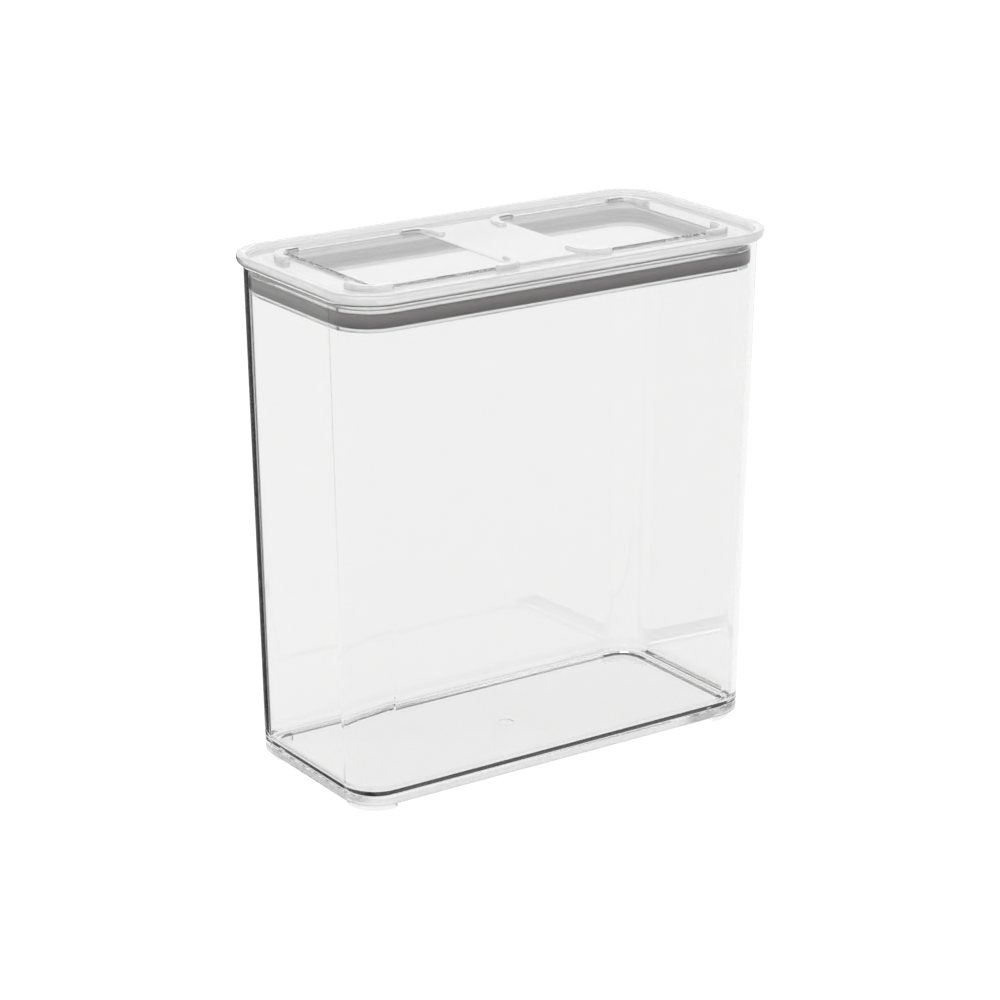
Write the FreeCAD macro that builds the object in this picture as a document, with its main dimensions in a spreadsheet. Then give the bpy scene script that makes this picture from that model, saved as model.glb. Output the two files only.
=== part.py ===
import FreeCAD, Part
import math
import os
import Sketcher

# Airtight storage container in millimetres, +Z up, standing on its feet at Z = 0.
# +X runs along the long side and the front faces -Y.

# Driving sizes
DRIVING = {
    # container tub
    "foot_height": 3.1,
    "foot_width": 2.4,
    "foot_inset": 3.0,
    "foot_leg": 14.0,
    "base_length": 186.4,
    "base_width": 84.0,
    "base_corner": 14.3,
    "tub_height": 197.9,
    "wall_draft_share": 0.0202,
    "tub_wall": 2.2,
    "tub_floor": 2.2,
    "base_fillet": 1.0,
    "floor_fillet": 5.7,
    "rim_fillet": 0.8,
    "gate_diameter": 7.0,
    "gate_depth": 0.4,
    # plug lid
    "plate_thick": 2.0,
    "lid_end_overhang": 2.0,
    "lid_side_overhang": 2.9,
    "lid_corner": 19.8,
    "bead_width": 3.8,
    "bead_height": 2.2,
    "bead_outer_fillet": 0.9,
    "bead_inner_fillet": 1.2,
    "bead_foot_fillet": 0.8,
    "lip_lower_fillet": 2.6,
    "stack_play": 1.2,
    "lug_gap": 24.8,
    "lug_leg": 14.0,
    "lug_corner": 10.0,
    "lug_width": 4.0,
    "lug_end_round": 1.6,
    "lug_fillet": 0.8,
    "plateau_rise": 1.2,
    "plateau_end_reach": 7.4,
    "plateau_side_reach": 2.7,
    "plateau_slope": 0.6,
    "plateau_corner": 3.0,
    "seal_depth": 3.4,
    "skirt_wall": 1.8,
    "skirt_drop": 11.0,
    "retainer_thick": 1.4,
    "retainer_gap": 1.0,
    "shoulder_thick": 1.2,
    "shoulder_gap": 0.9,
    "close_match": 0.1,
    # seal ring
    "seal_gap": 0.2,
    "seal_snug": 0.05,
    "seal_band": 5.7,
    "seal_fillet": 1.6,
}

# Sizes that follow from the driving ones
DERIVED = {
    "draft_angle": "=atan(wall_draft_share)",
    "floor_level": "=foot_height + tub_floor",
    "rim_level": "=foot_height + tub_height",
    "rim_spread": "=tub_height * wall_draft_share",
    "floor_spread": "=tub_floor * wall_draft_share",
    "hollow_length": "=base_length + 2 * floor_spread - 2 * tub_wall",
    "hollow_width": "=base_width + 2 * floor_spread - 2 * tub_wall",
    "hollow_corner": "=base_corner + floor_spread - tub_wall",
    "hollow_height": "=tub_height - tub_floor",
    "rim_length": "=base_length + 2 * rim_spread",
    "rim_width": "=base_width + 2 * rim_spread",
    "rim_corner": "=base_corner + rim_spread",
    "foot_length": "=base_length - 2 * foot_inset",
    "foot_across": "=base_width - 2 * foot_inset",
    "foot_corner": "=base_corner - foot_inset",
    "foot_hole_length": "=foot_length - 2 * foot_width",
    "foot_hole_across": "=foot_across - 2 * foot_width",
    "foot_hole_corner": "=foot_corner - foot_width",
    "foot_gap_length": "=foot_length - 2 * foot_leg",
    "foot_gap_across": "=foot_across - 2 * foot_leg",
    "lid_length": "=rim_length + 2 * lid_end_overhang",
    "lid_width": "=rim_width + 2 * lid_side_overhang",
    "plate_top": "=rim_level + plate_thick",
    "lid_top": "=plate_top + bead_height",
    "lid_height": "=lid_top - rim_level",
    "bead_hole_length": "=lid_length - 2 * bead_width",
    "bead_hole_width": "=lid_width - 2 * bead_width",
    "bead_hole_corner": "=lid_corner - bead_width",
    "lug_outer_length": "=foot_hole_length - 2 * stack_play",
    "lug_outer_width": "=foot_hole_across - 2 * stack_play",
    "lug_half_length": "=(lug_outer_length - lug_gap) / 2",
    "lug_half_centre": "=(lug_outer_length + lug_gap) / 4",
    "lug_hole_length": "=lug_half_length - 2 * lug_width",
    "lug_hole_width": "=lug_outer_width - 2 * lug_width",
    "lug_hole_corner": "=lug_corner - lug_width",
    "lug_cut_length": "=lug_half_length - 2 * lug_leg",
    "lug_cut_width": "=lug_outer_width - 2 * lug_leg",
    "plateau_length": "=lug_outer_length - 2 * plateau_end_reach",
    "plateau_width": "=lug_outer_width - 2 * plateau_side_reach",
    "plateau_angle": "=atan(plateau_slope / plateau_rise)",
    "skirt_length": "=rim_length - 2 * tub_wall - 2 * seal_depth",
    "skirt_width": "=rim_width - 2 * tub_wall - 2 * seal_depth",
    "skirt_corner": "=rim_corner - tub_wall - seal_depth",
    "skirt_hole_length": "=skirt_length - 2 * skirt_wall",
    "skirt_hole_width": "=skirt_width - 2 * skirt_wall",
    "skirt_hole_corner": "=skirt_corner - skirt_wall",
    "skirt_bottom": "=rim_level - skirt_drop",
    "bottom_spread": "=(skirt_bottom - foot_height) * wall_draft_share",
    "retainer_length": "=base_length + 2 * bottom_spread - 2 * tub_wall - 2 * retainer_gap",
    "retainer_width": "=base_width + 2 * bottom_spread - 2 * tub_wall - 2 * retainer_gap",
    "retainer_corner": "=base_corner + bottom_spread - tub_wall - retainer_gap",
    "seal_level": "=skirt_bottom + retainer_thick + seal_snug",
    "seal_hole_length": "=skirt_length + 2 * seal_snug",
    "seal_hole_width": "=skirt_width + 2 * seal_snug",
    "seal_hole_corner": "=skirt_corner + seal_snug",
    "shoulder_level": "=seal_level + seal_band + seal_snug",
    "shoulder_spread": "=(shoulder_level - foot_height) * wall_draft_share",
    "shoulder_length": "=base_length + 2 * shoulder_spread - 2 * tub_wall - 2 * shoulder_gap",
    "shoulder_width": "=base_width + 2 * shoulder_spread - 2 * tub_wall - 2 * shoulder_gap",
    "shoulder_corner": "=base_corner + shoulder_spread - tub_wall - shoulder_gap",
    "seal_spread": "=(seal_level - foot_height) * wall_draft_share",
    "seal_length": "=base_length + 2 * seal_spread - 2 * tub_wall - 2 * seal_gap",
    "seal_width": "=base_width + 2 * seal_spread - 2 * tub_wall - 2 * seal_gap",
    "seal_corner": "=base_corner + seal_spread - tub_wall - seal_gap",
}

doc = FreeCAD.newDocument("storage_container")
sheet = doc.addObject("Spreadsheet::Sheet", "sizes")
for row, (name, content) in enumerate([*DRIVING.items(), *DERIVED.items()], start=1):
    sheet.set(f"A{row}", name)
    sheet.set(f"B{row}", str(content))
    sheet.setAlias(f"B{row}", name)
doc.recompute()

QUARTER_TURN = math.pi / 2


def origin_point():
    """A sketch's own numbers for its origin."""
    return (-1, 1)


def level_axis():
    """A sketch's own number for its level axis."""
    return -1


def size(name):
    """The present value of one cell of the sheet."""
    return float(sheet.get(name))


def bind(thing, field, name):
    """Tie a property to one cell of the sheet."""
    thing.setExpression(field, f"sizes.{name}")


def new_body(label):
    body = doc.addObject("PartDesign::Body", label)
    body.Label = label
    return body


def new_sketch(body, name, level=None):
    """A sketch on the body's own level plane, raised to a level."""
    sketch = body.newObject("Sketcher::SketchObject", name)
    support = next(item for item in body.Origin.OriginFeatures if item.Role == "XY_Plane")
    sketch.AttachmentSupport = [(support, "")]
    sketch.MapMode = "FlatFace"
    if level:
        bind(sketch, "AttachmentOffset.Base.z", level)
    return sketch


def limit(sketch, name, *constraint):
    """Add a dimension and tie it to one cell of the sheet."""
    index = sketch.addConstraint(Sketcher.Constraint(*constraint, size(name)))
    bind(sketch, f"Constraints[{index}]", name)


def point(across, up):
    return FreeCAD.Vector(across, up, 0)


def add_lines(sketch, corners):
    """A closed chain of straight lines, joined end to end; returns their numbers."""
    ends = corners[1:] + corners[:1]
    lines = [sketch.addGeometry(Part.LineSegment(a, b)) for a, b in zip(corners, ends)]
    for line, following in zip(lines, lines[1:] + lines[:1]):
        sketch.addConstraint(Sketcher.Constraint("Coincident", line, 2, following, 1))
    return lines


def square_up(sketch, lines):
    """Make a chain of four lines level, upright, level and upright."""
    for line, way in zip(lines, ("Horizontal", "Vertical", "Horizontal", "Vertical")):
        sketch.addConstraint(Sketcher.Constraint(way, line))


def rectangle(sketch, length, width, centre=None, side=1):
    """A rectangle about the origin, or about a point on the X axis."""
    middle = side * size(centre) if centre else 0
    far, up = size(length) / 2, size(width) / 2
    lines = add_lines(sketch, [point(middle - far, -up), point(middle + far, -up),
                               point(middle + far, up), point(middle - far, up)])
    square_up(sketch, lines)
    hold_centre(sketch, lines[0], lines[2], centre, middle)
    limit(sketch, length, "DistanceX", lines[0], 1, lines[0], 2)
    limit(sketch, width, "DistanceY", lines[1], 1, lines[1], 2)


def hold_centre(sketch, first, opposite, centre, middle):
    """Keep two opposite corners symmetric about the origin or a point on the X axis."""
    if centre is None:
        sketch.addConstraint(Sketcher.Constraint("Symmetric", first, 1, opposite, 1, *origin_point()))
        return
    pole = sketch.addGeometry(Part.Point(point(middle, 0)), True)
    sketch.addConstraint(Sketcher.Constraint("PointOnObject", pole, 1, level_axis()))
    reach = (origin_point() + (pole, 1)) if middle > 0 else ((pole, 1) + origin_point())
    limit(sketch, centre, "DistanceX", *reach)
    sketch.addConstraint(Sketcher.Constraint("Symmetric", first, 1, opposite, 1, pole, 1))


def rounded(sketch, length, width, corner, centre=None, side=1):
    """A rectangle with round corners about the origin or a point on the X axis."""
    middle = side * size(centre) if centre else 0
    far, up, bend = size(length) / 2, size(width) / 2, size(corner)
    turns = [(1, -1), (1, 1), (-1, 1), (-1, -1)]
    hubs = [point(middle + x * (far - bend), y * (up - bend)) for x, y in turns]
    outward = [point(0, -bend), point(bend, 0), point(0, bend), point(-bend, 0)]
    lines, arcs = [], []
    for index, hub in enumerate(hubs):
        lines.append(sketch.addGeometry(Part.LineSegment(hubs[index - 1] + outward[index],
                                                         hub + outward[index])))
        start = (index - 1) * QUARTER_TURN
        circle = Part.Circle(hub, FreeCAD.Vector(0, 0, 1), bend)
        arcs.append(sketch.addGeometry(Part.ArcOfCircle(circle, start, start + QUARTER_TURN)))
    for index, arc in enumerate(arcs):
        following = lines[(index + 1) % len(lines)]
        sketch.addConstraint(Sketcher.Constraint("Tangent", lines[index], 2, arc, 1))
        sketch.addConstraint(Sketcher.Constraint("Tangent", arc, 2, following, 1))
    square_up(sketch, lines)
    for arc in arcs[1:]:
        sketch.addConstraint(Sketcher.Constraint("Equal", arcs[0], arc))
    limit(sketch, corner, "Radius", arcs[0])
    hold_centre(sketch, lines[0], lines[2], centre, middle)
    limit(sketch, length, "DistanceX", lines[3], 1, lines[1], 1)
    limit(sketch, width, "DistanceY", lines[0], 1, lines[2], 1)


def add_pad(body, sketch, name, height, upward=True, taper=None):
    pad = body.newObject("PartDesign::Pad", name)
    pad.Profile = sketch
    pad.Reversed = not upward
    bind(pad, "Length", height)
    if taper:
        pad.setExpression("TaperAngle", taper)
    doc.recompute()
    return pad


def add_pocket(body, sketch, name, depth, upward=False, taper=None):
    before = body.Shape.Volume
    pocket = body.newObject("PartDesign::Pocket", name)
    pocket.Profile = sketch
    pocket.Reversed = upward
    bind(pocket, "Length", depth)
    if taper:
        pocket.setExpression("TaperAngle", taper)
    doc.recompute()
    assert body.Shape.Volume < before, f"{name} cuts nothing"
    return pocket


def outline_edges(shape, level, length, width):
    """Names of the edges of the flat outline of a given size at a given height."""
    close = size("close_match")
    found = []
    for face in shape.Faces:
        for wire in face.Wires:
            box = wire.BoundBox
            sizes = (box.ZMin - level, box.ZMax - level, box.XLength - length, box.YLength - width)
            if all(abs(value) < close for value in sizes):
                found.extend(wire.Edges)
    return edge_names(shape, found)


def edge_names(shape, chosen):
    return [f"Edge{index}" for index, edge in enumerate(shape.Edges, start=1)
            if any(edge.isSame(other) for other in chosen)]


def touches_arc(shape, edge):
    """Whether an upright edge is the seam between a flat and a round face."""
    faces = [face for face in shape.Faces if any(edge.isSame(other) for other in face.Edges)]
    return any(isinstance(face.Surface, Part.Cylinder) for face in faces)


def add_fillet(body, name, base, edges, radius):
    assert edges, f"{name} finds no edges"
    fillet = body.newObject("PartDesign::Fillet", name)
    fillet.Base = (base, edges)
    bind(fillet, "Radius", radius)
    doc.recompute()
    return fillet


def make_tub():
    """Clear box with drafted walls, four corner feet and a gate mark under the floor."""
    body = new_body("container_tub")
    draft = "sizes.draft_angle"
    sketch = new_sketch(body, "tub_outline", "foot_height")
    rounded(sketch, "base_length", "base_width", "base_corner")
    add_pad(body, sketch, "tub_block", "tub_height", taper=draft)
    sketch = new_sketch(body, "tub_hollow_outline", "floor_level")
    rounded(sketch, "hollow_length", "hollow_width", "hollow_corner")
    hollow = add_pocket(body, sketch, "tub_hollow", "hollow_height", upward=True, taper=draft)
    edges = outline_edges(hollow.Shape, size("foot_height"), size("base_length"), size("base_width"))
    last = add_fillet(body, "base_round", hollow, edges, "base_fillet")
    edges = outline_edges(last.Shape, size("floor_level"), size("hollow_length"), size("hollow_width"))
    last = add_fillet(body, "floor_round", last, edges, "floor_fillet")
    rim_hole = 2 * size("tub_wall")
    rim = (size("rim_length"), size("rim_width"))
    edges = outline_edges(last.Shape, size("rim_level"), *rim)
    edges += outline_edges(last.Shape, size("rim_level"), rim[0] - rim_hole, rim[1] - rim_hole)
    add_fillet(body, "rim_round", last, edges, "rim_fillet")
    sketch = new_sketch(body, "foot_outline", "foot_height")
    rounded(sketch, "foot_length", "foot_across", "foot_corner")
    rounded(sketch, "foot_hole_length", "foot_hole_across", "foot_hole_corner")
    add_pad(body, sketch, "foot_ring", "foot_height", upward=False)
    sketch = new_sketch(body, "long_side_gap")
    rectangle(sketch, "foot_gap_length", "base_width")
    add_pocket(body, sketch, "long_side_cut", "foot_height", upward=True)
    sketch = new_sketch(body, "short_side_gap")
    rectangle(sketch, "base_length", "foot_gap_across")
    add_pocket(body, sketch, "short_side_cut", "foot_height", upward=True)
    sketch = new_sketch(body, "gate_outline", "foot_height")
    circle = Part.Circle(point(0, 0), FreeCAD.Vector(0, 0, 1), size("gate_diameter") / 2)
    ring = sketch.addGeometry(circle)
    sketch.addConstraint(Sketcher.Constraint("Coincident", ring, 3, *origin_point()))
    limit(sketch, "gate_diameter", "Diameter", ring)
    add_pocket(body, sketch, "gate_mark", "gate_depth", upward=True)
    return body


def make_lid():
    """Plug lid: edge bead, stacking lugs, raised middle, and the skirt that carries the seal."""
    body = new_body("plug_lid")
    lid = (size("lid_length"), size("lid_width"))
    inner = (size("bead_hole_length"), size("bead_hole_width"))
    sketch = new_sketch(body, "lid_outline", "rim_level")
    rounded(sketch, "lid_length", "lid_width", "lid_corner")
    add_pad(body, sketch, "lid_block", "lid_height")
    sketch = new_sketch(body, "bead_outline", "lid_top")
    rounded(sketch, "bead_hole_length", "bead_hole_width", "bead_hole_corner")
    last = add_pocket(body, sketch, "bead_hollow", "bead_height")
    for name, outline, level, radius in (
            ("bead_crown", lid, "lid_top", "bead_outer_fillet"),
            ("bead_inside", inner, "lid_top", "bead_inner_fillet"),
            ("bead_root", inner, "plate_top", "bead_foot_fillet"),
            ("lip_underside", lid, "rim_level", "lip_lower_fillet")):
        edges = outline_edges(last.Shape, size(level), *outline)
        last = add_fillet(body, name, last, edges, radius)
    add_lugs(body)
    add_plateau(body)
    add_skirt(body)
    return body


def add_lugs(body):
    """Eight low corner ribs, for one full container or two half ones stacked on top."""
    sketch = new_sketch(body, "lug_outline", "plate_top")
    for side in (-1, 1):
        rounded(sketch, "lug_half_length", "lug_outer_width", "lug_corner", "lug_half_centre", side)
        rounded(sketch, "lug_hole_length", "lug_hole_width", "lug_hole_corner", "lug_half_centre", side)
    add_pad(body, sketch, "lug_block", "bead_height")
    sketch = new_sketch(body, "lug_gap_lengthwise", "plate_top")
    rectangle(sketch, "lug_outer_length", "lug_cut_width")
    add_pocket(body, sketch, "lug_cut_lengthwise", "bead_height", upward=True)
    sketch = new_sketch(body, "lug_gap_across", "plate_top")
    for side in (-1, 1):
        rectangle(sketch, "lug_cut_length", "lug_outer_width", "lug_half_centre", side)
    last = add_pocket(body, sketch, "lug_cut_across", "bead_height", upward=True)
    close = size("close_match")
    base, top = size("plate_top"), size("lid_top")
    ends = [edge for edge in last.Shape.Edges
            if edge.BoundBox.DiagonalLength - edge.BoundBox.ZLength < close
            and abs(edge.BoundBox.ZMin - base) + abs(edge.BoundBox.ZMax - top) < close
            and isinstance(edge.Curve, Part.Line)]
    sharp = [edge for edge in ends if not touches_arc(last.Shape, edge)]
    last = add_fillet(body, "lug_ends", last, edge_names(last.Shape, sharp), "lug_end_round")
    rims = []
    for face in last.Shape.Faces:
        box = face.BoundBox
        flat = abs(box.ZMin - top) + abs(box.ZMax - top) < close
        if flat and box.XLength < size("lug_leg") + close:
            rims.extend(face.Edges)
    add_fillet(body, "lug_round", last, edge_names(last.Shape, rims), "lug_fillet")


def add_plateau(body):
    """Raised middle of the lid, a little lower than the bead and the lugs, hollow underneath."""
    inward = "-sizes.plateau_angle"
    outline = ("plateau_length", "plateau_width", "plateau_corner")
    sketch = new_sketch(body, "plateau_outline", "plate_top")
    rounded(sketch, *outline)
    add_pad(body, sketch, "plateau", "plateau_rise", taper=inward)
    sketch = new_sketch(body, "plateau_underside", "rim_level")
    rounded(sketch, *outline)
    add_pocket(body, sketch, "plateau_hollow", "plateau_rise", upward=True, taper=inward)


def add_skirt(body):
    """Ring under the plate with a shoulder above the seal and a retainer below it."""
    hole = ("skirt_hole_length", "skirt_hole_width", "skirt_hole_corner")
    sketch = new_sketch(body, "skirt_outline", "rim_level")
    rounded(sketch, "skirt_length", "skirt_width", "skirt_corner")
    rounded(sketch, *hole)
    add_pad(body, sketch, "skirt", "skirt_drop", upward=False)
    for part, level, thick in (("retainer", "skirt_bottom", "retainer_thick"),
                               ("shoulder", "shoulder_level", "shoulder_thick")):
        sketch = new_sketch(body, f"{part}_outline", level)
        rounded(sketch, f"{part}_length", f"{part}_width", f"{part}_corner")
        rounded(sketch, *hole)
        add_pad(body, sketch, f"seal_{part}", thick)


def make_seal():
    """Soft ring held on the skirt, with a band that presses on the tub's wall."""
    body = new_body("seal_ring")
    sketch = new_sketch(body, "band_outline", "seal_level")
    rounded(sketch, "seal_length", "seal_width", "seal_corner")
    band = add_pad(body, sketch, "seal_band", "seal_band", taper="sizes.draft_angle")
    spread = 2 * size("seal_band") * size("wall_draft_share")
    outline = (size("seal_length"), size("seal_width"))
    edges = outline_edges(band.Shape, size("seal_level"), *outline)
    edges += outline_edges(band.Shape, size("seal_level") + size("seal_band"),
                           outline[0] + spread, outline[1] + spread)
    add_fillet(body, "band_round", band, edges, "seal_fillet")
    sketch = new_sketch(body, "hole_outline", "seal_level")
    rounded(sketch, "seal_hole_length", "seal_hole_width", "seal_hole_corner")
    add_pocket(body, sketch, "seal_hole", "seal_band", upward=True)
    return body


def save(bodies):
    """Check the document and write one file for each piece."""
    doc.recompute()
    for item in doc.Objects:
        faults = {"Invalid", "Error"}.intersection(item.State)
        assert not faults, f"{item.Label} is {faults}"
    os.makedirs("parts", exist_ok=True)
    for body in bodies:
        shape = body.Shape
        assert not shape.isNull() and shape.isValid(), f"{body.Label} has a bad shape"
        assert len(shape.Solids) == 1, f"{body.Label} is not one solid"
        shape.exportStep(f"parts/{body.Label}.step")


save([make_tub(), make_lid(), make_seal()])
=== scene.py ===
import math

import bpy
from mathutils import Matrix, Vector


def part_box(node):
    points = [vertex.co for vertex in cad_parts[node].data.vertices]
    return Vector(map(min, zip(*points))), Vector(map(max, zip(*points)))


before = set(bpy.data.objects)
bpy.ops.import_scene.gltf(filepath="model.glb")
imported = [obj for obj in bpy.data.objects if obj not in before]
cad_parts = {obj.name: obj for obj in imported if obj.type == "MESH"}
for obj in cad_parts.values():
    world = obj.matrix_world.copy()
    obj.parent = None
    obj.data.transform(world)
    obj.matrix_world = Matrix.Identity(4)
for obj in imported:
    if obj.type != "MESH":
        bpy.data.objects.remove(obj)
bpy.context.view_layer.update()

# Camera, from outlines fitted to the photograph
VIEW_AZIMUTH = math.radians(-34.3)
VIEW_ELEVATION = math.radians(18.3)
VIEW_DISTANCE = 1.24724
VIEW_HEIGHT = 0.09916
VIEW_ASIDE = -0.00179
VIEW_REACH = 50.0
LENS_MM = 113.5
SENSOR_MM = 36.0

# Reach from the middle beyond which a wall's face counts as looking out or in
FACE_REACH = 0.02

# Tub: polished clear plastic with faint marks, satin on the outside of its base
TUB_IOR = 1.57
TUB_TINT = (0.9, 0.9, 0.899, 1.0)
TUB_ROUGHNESS = 0.012
MARK_SCALE = 40.0
MARK_DETAIL = 4.0
MARK_START = 0.45
MARK_END = 0.75
BASE_ROUGHNESS = 0.3
BASE_HAZE_START = 0.0060
BASE_HAZE_END = 0.0070

# Lid: satin border and middle band, two smooth windows, and a streaked skirt whose inner
# faces are darkened with painted shade
LID_IOR = 1.5
WINDOW_TINT = (0.87, 0.87, 0.87, 1.0)
SATIN_TINT = (0.98, 0.98, 0.98, 1.0)
SKIRT_PAINTED_SHADE = (0.55, 0.55, 0.55, 1.0)
BAND_HALF = 0.018
WINDOW_END = 0.0797
WINDOW_SIDE = 0.0332
WINDOW_BLUR = 0.0013
WINDOW_HAZE_SHARE = 0.04
SKIRT_CLEAR = 0.0002
SKIRT_HAZE_SHARE = 0.2
STREAK_SCALE = 900.0
STREAK_START = 0.4
STREAK_END = 0.6
STREAK_PALE_SHARE = 0.9
STREAK_CLEAR_SHARE = 0.3
SATIN_CLARITY = 0.52
GLOSS_ROUGHNESS = 0.02
SATIN_ROUGHNESS = 0.14
COAT_ROUGHNESS = 0.03
GRAIN_SCALE = 2600.0
GRAIN_DETAIL = 2.0
GRAIN_LIFT = 0.000015

# Seal: matt rubber, with painted shade: darker towards its bottom, paler towards its top
SEAL_PAINTED_BOTTOM_SHADE = (0.05, 0.045, 0.045, 1.0)
SEAL_PAINTED_TOP_LIGHT = (0.33, 0.308, 0.306, 1.0)
SEAL_PAINTED_LIGHT_SHARE = 0.8
SEAL_ROUGHNESS = 0.6
SEAL_GRAIN_SCALE = 900.0
SEAL_GRAIN_DETAIL = 3.0

# Studio
WHITE = (1.0, 1.0, 1.0, 1.0)
FLOOR_SIZE = 12.0
FLOOR_COLOUR = (0.85, 0.85, 0.85, 1.0)
FLOOR_ROUGHNESS = 0.9
FLOOR_GLOW = 1.005
FLOOR_SHADE_SHARE = 0.08
# Painted shade on the floor under the base, seen only by light reflected in the plastic
STEEP_START = 0.61
STEEP_END = 0.58
STEEP_GLOW = 0.03
BOUNCE_GLOW = 1.0
DEEP_SHIFT = 0.03
CARD_MARGIN = 0.006
CARD_BLUR = 0.004
# A dark flag painted on the floor behind the back left corner, seen only by light reflected
# in the plastic
FLAG_BEARING = math.radians(78.0)
FLAG_HALF = math.radians(34.0)
FLAG_BLUR = math.radians(5.0)
FLAG_GLOW = 0.03
CEILING_START = 0.42
CEILING_END = 0.75
CEILING_GLOW = 0.12
SOFTBOX_PLACE = (-0.9, -0.9, 1.6)
SOFTBOX_SIZE = 1.0
SOFTBOX_POWER = 6.0

# Depths of light paths are whole numbers, so the limits lie halfway between two
ONE_BOUNCE = 0.5
CEILING_BOUNCES = 1.5
FLOOR_BOUNCES = 3.5
DEEP_PASSES = 2.5
ANY_BOUNCES = 1000.0
MOST_BOUNCES = 400


def node_of(tree, kind, **settings):
    """A new shader node with its settings."""
    node = tree.nodes.new(kind)
    for name, value in settings.items():
        setattr(node, name, value)
    return node


def feed(tree, socket, value):
    """Set a socket to a plain value or link it to another socket."""
    if isinstance(value, bpy.types.NodeSocket):
        tree.links.new(value, socket)
    else:
        socket.default_value = value


def calc(tree, operation, first, second=0.0):
    """A Math node fed by sockets or numbers; returns its output."""
    node = node_of(tree, "ShaderNodeMath", operation=operation)
    feed(tree, node.inputs[0], first)
    feed(tree, node.inputs[1], second)
    return node.outputs["Value"]


def mix(tree, kind, share, first, second):
    """A Mix node that goes from first to second by a share; returns its output."""
    node = node_of(tree, "ShaderNodeMix", data_type=kind)
    for name, value in (("Factor", share), ("A", first), ("B", second)):
        feed(tree, node.inputs[name], value)
    return node.outputs["Result"]


def ramp(tree, value, start, end, low, high):
    """Map a value from start..end to low..high, with soft ends."""
    node = node_of(tree, "ShaderNodeMapRange", interpolation_type="SMOOTHSTEP")
    feed(tree, node.inputs["Value"], value)
    for name, number in (("From Min", start), ("From Max", end),
                         ("To Min", low), ("To Max", high)):
        feed(tree, node.inputs[name], number)
    return node.outputs["Result"]


def axes_of(tree, output):
    """The three parts of one of the texture coordinates."""
    place = node_of(tree, "ShaderNodeTexCoord")
    split = node_of(tree, "ShaderNodeSeparateXYZ")
    tree.links.new(place.outputs[output], split.inputs["Vector"])
    return split.outputs["X"], split.outputs["Y"], split.outputs["Z"]


def noise(tree, scale, detail):
    """Cloudy noise that is fixed to the object, about 0 to 1."""
    place = node_of(tree, "ShaderNodeTexCoord")
    texture = node_of(tree, "ShaderNodeTexNoise")
    texture.inputs["Scale"].default_value = scale
    texture.inputs["Detail"].default_value = detail
    tree.links.new(place.outputs["Object"], texture.inputs["Vector"])
    return texture.outputs["Fac"]


def outward_reach(tree):
    """How far from the middle a wall's face looks: above 0 outward, below 0 inward.

    It is 0 for light that meets the face from within the plastic.
    """
    along, across, _ = axes_of(tree, "Object")
    aside, forth, _ = axes_of(tree, "Normal")
    reach = calc(tree, "ADD", calc(tree, "MULTIPLY", along, aside),
                 calc(tree, "MULTIPLY", across, forth))
    back = node_of(tree, "ShaderNodeNewGeometry").outputs["Backfacing"]
    return calc(tree, "MULTIPLY", reach, calc(tree, "SUBTRACT", 1.0, back))


def new_material(name):
    """A new material with its node tree and its main shader."""
    material = bpy.data.materials.new(name)
    material.use_nodes = True
    tree = material.node_tree
    return material, tree, tree.nodes["Principled BSDF"]


def tub_plastic():
    """Polished clear plastic with faint handling marks and a satin base."""
    material, tree, shader = new_material("clear_tub_plastic")
    shader.inputs["Base Color"].default_value = TUB_TINT
    shader.inputs["IOR"].default_value = TUB_IOR
    shader.inputs["Transmission Weight"].default_value = 1.0
    marks = noise(tree, MARK_SCALE, MARK_DETAIL)
    marks = ramp(tree, marks, MARK_START, MARK_END, 0.0, TUB_ROUGHNESS)
    _, _, height = axes_of(tree, "Object")
    outer = calc(tree, "GREATER_THAN", outward_reach(tree), FACE_REACH)
    haze = ramp(tree, height, BASE_HAZE_START, BASE_HAZE_END, BASE_ROUGHNESS, 0.0)
    rough = calc(tree, "MAXIMUM", marks, calc(tree, "MULTIPLY", haze, outer))
    tree.links.new(rough, shader.inputs["Roughness"])
    return material


def window_satin(tree, along, across):
    """1 on the lid's border and middle band, a faint haze on the two windows between."""
    along = calc(tree, "ABSOLUTE", along)
    across = calc(tree, "ABSOLUTE", across)
    inside = calc(tree, "MINIMUM", calc(tree, "SUBTRACT", along, BAND_HALF),
                  calc(tree, "SUBTRACT", WINDOW_END, along))
    inside = calc(tree, "MINIMUM", inside, calc(tree, "SUBTRACT", WINDOW_SIDE, across))
    return ramp(tree, inside, 0.0, WINDOW_BLUR, 1.0, WINDOW_HAZE_SHARE)


def skirt_haze(tree, height, inner):
    """Haze of the lid's skirt: level streaks on its inner faces, an even share elsewhere."""
    streak = node_of(tree, "ShaderNodeTexNoise", noise_dimensions="1D")
    streak.inputs["Scale"].default_value = STREAK_SCALE
    tree.links.new(height, streak.inputs["W"])
    streaks = ramp(tree, streak.outputs["Fac"], STREAK_START, STREAK_END,
                   STREAK_PALE_SHARE, STREAK_CLEAR_SHARE)
    return calc(tree, "MAXIMUM", calc(tree, "MULTIPLY", inner, streaks), SKIRT_HAZE_SHARE)


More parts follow.
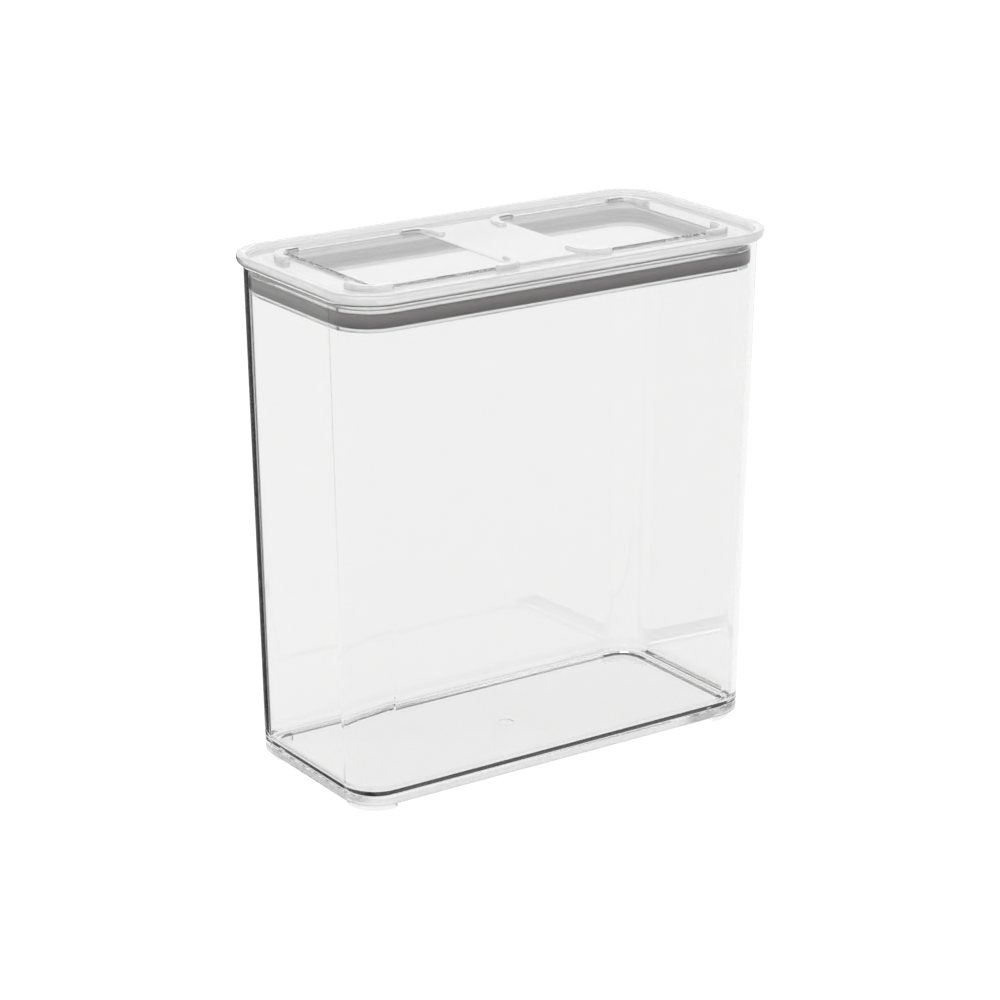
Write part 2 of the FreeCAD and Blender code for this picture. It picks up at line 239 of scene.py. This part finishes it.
def lid_plastic():
    """Hazy plastic: satin border and middle band, smooth windows, and a streaked skirt with
    painted shade on its inner faces.
    """
    material, tree, shader = new_material("hazy_lid_plastic")
    shader.inputs["IOR"].default_value = LID_IOR
    shader.inputs["Coat Roughness"].default_value = COAT_ROUGHNESS
    along, across, height = axes_of(tree, "Object")
    skirt = calc(tree, "LESS_THAN", height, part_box("container_tub")[1][2] - SKIRT_CLEAR)
    inner = calc(tree, "LESS_THAN", outward_reach(tree), -FACE_REACH)
    lost = calc(tree, "SUBTRACT", 1.0, skirt_haze(tree, height, inner))
    kept = calc(tree, "SUBTRACT", 1.0, calc(tree, "MULTIPLY", skirt, lost))
    satin = calc(tree, "MULTIPLY", window_satin(tree, along, across), kept)
    grain = node_of(tree, "ShaderNodeBump")
    grain.inputs["Distance"].default_value = GRAIN_LIFT
    tree.links.new(satin, grain.inputs["Strength"])
    tree.links.new(noise(tree, GRAIN_SCALE, GRAIN_DETAIL), grain.inputs["Height"])
    tint = mix(tree, "RGBA", satin, WINDOW_TINT, SATIN_TINT)
    # Painted shade: the skirt's inner faces are tinted dark grey
    tint = mix(tree, "RGBA", calc(tree, "MULTIPLY", inner, skirt), tint, SKIRT_PAINTED_SHADE)
    rough = ramp(tree, satin, 0.0, 1.0, GLOSS_ROUGHNESS, SATIN_ROUGHNESS)
    clarity = ramp(tree, satin, 0.0, 1.0, 1.0, SATIN_CLARITY)
    for name, value in (("Base Color", tint), ("Roughness", rough),
                        ("Transmission Weight", clarity), ("Coat Weight", satin),
                        ("Normal", grain.outputs["Normal"])):
        tree.links.new(value, shader.inputs[name])
    return material


def seal_rubber():
    """Soft matt grey rubber with a fine moulded grain, and painted shade that darkens it
    towards its bottom.
    """
    material, tree, shader = new_material("grey_rubber")
    shader.inputs["Roughness"].default_value = SEAL_ROUGHNESS
    low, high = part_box("seal_ring")
    _, _, height = axes_of(tree, "Object")
    # Painted shade: the rubber is darker towards its bottom and paler towards its top
    level = ramp(tree, height, low[2], high[2], 0.0, SEAL_PAINTED_LIGHT_SHARE)
    grain = noise(tree, SEAL_GRAIN_SCALE, SEAL_GRAIN_DETAIL)
    grain = calc(tree, "MULTIPLY", grain, 1.0 - SEAL_PAINTED_LIGHT_SHARE)
    shade = mix(tree, "RGBA", calc(tree, "ADD", level, grain), SEAL_PAINTED_BOTTOM_SHADE, SEAL_PAINTED_TOP_LIGHT)
    tree.links.new(shade, shader.inputs["Base Color"])
    return material


def dress(node, material):
    """Give a CAD node its material."""
    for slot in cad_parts[node].material_slots:
        slot.material = material


def bounced_light(tree, path, most):
    """1 for light reflected at least once, fewer times than most, and by no matt surface."""
    some = calc(tree, "GREATER_THAN", path["Glossy Depth"], ONE_BOUNCE)
    some = calc(tree, "MULTIPLY", some, calc(tree, "LESS_THAN", path["Glossy Depth"], most))
    plain = calc(tree, "LESS_THAN", path["Diffuse Depth"], ONE_BOUNCE)
    return calc(tree, "MULTIPLY", some, plain)


def light_world():
    """White all round, with a dim ceiling for light that was reflected once."""
    world = bpy.data.worlds.new("studio")
    bpy.context.scene.world = world
    world.use_nodes = True
    tree = world.node_tree
    background = tree.nodes["Background"]
    path = node_of(tree, "ShaderNodeLightPath").outputs
    _, _, up = axes_of(tree, "Generated")
    bounced = bounced_light(tree, path, CEILING_BOUNCES)
    ceiling = ramp(tree, up, CEILING_START, CEILING_END, 1.0, CEILING_GLOW)
    level = mix(tree, "FLOAT", bounced, 1.0, ceiling)
    strength = calc(tree, "MAXIMUM", level, path["Is Camera Ray"])
    background.inputs["Color"].default_value = WHITE
    tree.links.new(strength, background.inputs["Strength"])


def painted_dark_flag(tree, along, across):
    """A dark flag painted on the floor behind the back left corner, from which along and
    across count.

    It is FLAG_GLOW within the flag's sector and 1 outside it.
    """
    bearing = calc(tree, "ARCTAN2", across, along)
    aside = calc(tree, "ABSOLUTE", calc(tree, "SUBTRACT", bearing, FLAG_BEARING))
    return ramp(tree, aside, FLAG_HALF, FLAG_HALF + FLAG_BLUR, FLAG_GLOW, 1.0)


def painted_shade_card(tree, along, across, corner, deep):
    """Painted shade on the floor: a dark card for light that meets it steeply; BOUNCE_GLOW
    elsewhere.

    Light that went through many faces (deep) meets the card only on the half towards the
    back right, and other light only on the footprint with a margin round it.
    """
    slant = node_of(tree, "ShaderNodeLayerWeight").outputs["Facing"]
    slant = calc(tree, "SUBTRACT", slant, calc(tree, "MULTIPLY", deep, DEEP_SHIFT))
    steep = ramp(tree, slant, STEEP_END, STEEP_START, STEEP_GLOW, BOUNCE_GLOW)
    near = calc(tree, "ADD", calc(tree, "DIVIDE", along, corner[0]),
                calc(tree, "DIVIDE", across, corner[1]))
    near = calc(tree, "LESS_THAN", near, 0.0)
    steep = calc(tree, "MAXIMUM", steep, calc(tree, "MULTIPLY", deep, near))
    beyond = calc(tree, "SUBTRACT", calc(tree, "ABSOLUTE", along), corner[0])
    beside = calc(tree, "SUBTRACT", calc(tree, "ABSOLUTE", across), corner[1])
    edge = calc(tree, "MAXIMUM", beyond, beside)
    clear = ramp(tree, edge, CARD_MARGIN, CARD_MARGIN + CARD_BLUR, 0.0, 1.0)
    clear = calc(tree, "MULTIPLY", clear, calc(tree, "SUBTRACT", 1.0, deep))
    return calc(tree, "MAXIMUM", steep, clear)


def lay_floor():
    """Pale floor, white to the camera and through the plastic, dimmer to reflected light,
    with painted shade under the base and a painted dark flag.
    """
    bpy.ops.mesh.primitive_plane_add(size=FLOOR_SIZE)
    floor = bpy.context.object
    floor.name = "studio_floor"
    material, tree, shader = new_material("pale_floor")
    shader.inputs["Base Color"].default_value = FLOOR_COLOUR
    shader.inputs["Roughness"].default_value = FLOOR_ROUGHNESS
    path = node_of(tree, "ShaderNodeLightPath").outputs
    seen = calc(tree, "MAXIMUM", path["Is Camera Ray"], path["Is Glossy Ray"])
    seen = calc(tree, "MAXIMUM", seen, path["Is Transmission Ray"])
    deep = calc(tree, "GREATER_THAN", path["Transmission Depth"], DEEP_PASSES)
    most = calc(tree, "ADD", FLOOR_BOUNCES, calc(tree, "MULTIPLY", deep, ANY_BOUNCES))
    bounced = bounced_light(tree, path, most)
    low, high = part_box("container_tub")
    along, across, _ = axes_of(tree, "Object")
    flag = painted_dark_flag(tree, calc(tree, "SUBTRACT", along, low[0]),
                      calc(tree, "SUBTRACT", across, high[1]))
    flag = calc(tree, "MAXIMUM", flag, deep)
    # Painted shade under the base and a painted dark flag, seen only by reflected light
    dim = calc(tree, "MULTIPLY", painted_shade_card(tree, along, across, high, deep), flag)
    lit_share = 1.0 - FLOOR_SHADE_SHARE
    light = node_of(tree, "ShaderNodeEmission")
    light.inputs["Color"].default_value = WHITE
    glow = mix(tree, "FLOAT", bounced, FLOOR_GLOW / lit_share, dim)
    tree.links.new(glow, light.inputs["Strength"])
    blend = node_of(tree, "ShaderNodeMixShader")
    share = calc(tree, "MAXIMUM", calc(tree, "MULTIPLY", seen, lit_share), bounced)
    tree.links.new(share, blend.inputs["Fac"])
    tree.links.new(shader.outputs["BSDF"], blend.inputs[1])
    tree.links.new(light.outputs["Emission"], blend.inputs[2])
    tree.links.new(blend.outputs["Shader"], tree.nodes["Material Output"].inputs["Surface"])
    floor.data.materials.append(material)


def hang_softbox():
    """One soft lamp from the front left, aimed at the object's middle."""
    lamp = bpy.data.lights.new("key_softbox", "AREA")
    lamp.shape = "RECTANGLE"
    lamp.size = SOFTBOX_SIZE
    lamp.size_y = SOFTBOX_SIZE
    lamp.energy = SOFTBOX_POWER
    holder = bpy.data.objects.new("key_softbox", lamp)
    bpy.context.collection.objects.link(holder)
    holder.location = SOFTBOX_PLACE
    aim = Vector((0.0, 0.0, VIEW_HEIGHT)) - Vector(SOFTBOX_PLACE)
    holder.rotation_euler = aim.to_track_quat("-Z", "Y").to_euler()


def set_camera():
    """The photograph's camera."""
    lens = bpy.data.cameras.new("photo_camera")
    lens.lens = LENS_MM
    lens.sensor_width = SENSOR_MM
    lens.clip_end = VIEW_REACH
    camera = bpy.data.objects.new("photo_camera", lens)
    bpy.context.collection.objects.link(camera)
    level = math.cos(VIEW_ELEVATION)
    back = Vector((math.sin(VIEW_AZIMUTH) * level, -math.cos(VIEW_AZIMUTH) * level,
                   math.sin(VIEW_ELEVATION)))
    right = Vector((math.cos(VIEW_AZIMUTH), math.sin(VIEW_AZIMUTH), 0.0))
    middle = Vector((0.0, 0.0, VIEW_HEIGHT))
    camera.location = middle + right * VIEW_ASIDE + back * VIEW_DISTANCE
    camera.rotation_euler = back.to_track_quat("Z", "Y").to_euler()
    bpy.context.scene.camera = camera


dress("container_tub", tub_plastic())
dress("plug_lid", lid_plastic())
dress("seal_ring", seal_rubber())
light_world()
lay_floor()
hang_softbox()
set_camera()
bpy.context.scene.view_settings.view_transform = "Standard"
bpy.context.scene.cycles.max_bounces = MOST_BOUNCES
bpy.context.scene.cycles.glossy_bounces = MOST_BOUNCES
bpy.context.scene.cycles.transmission_bounces = MOST_BOUNCES
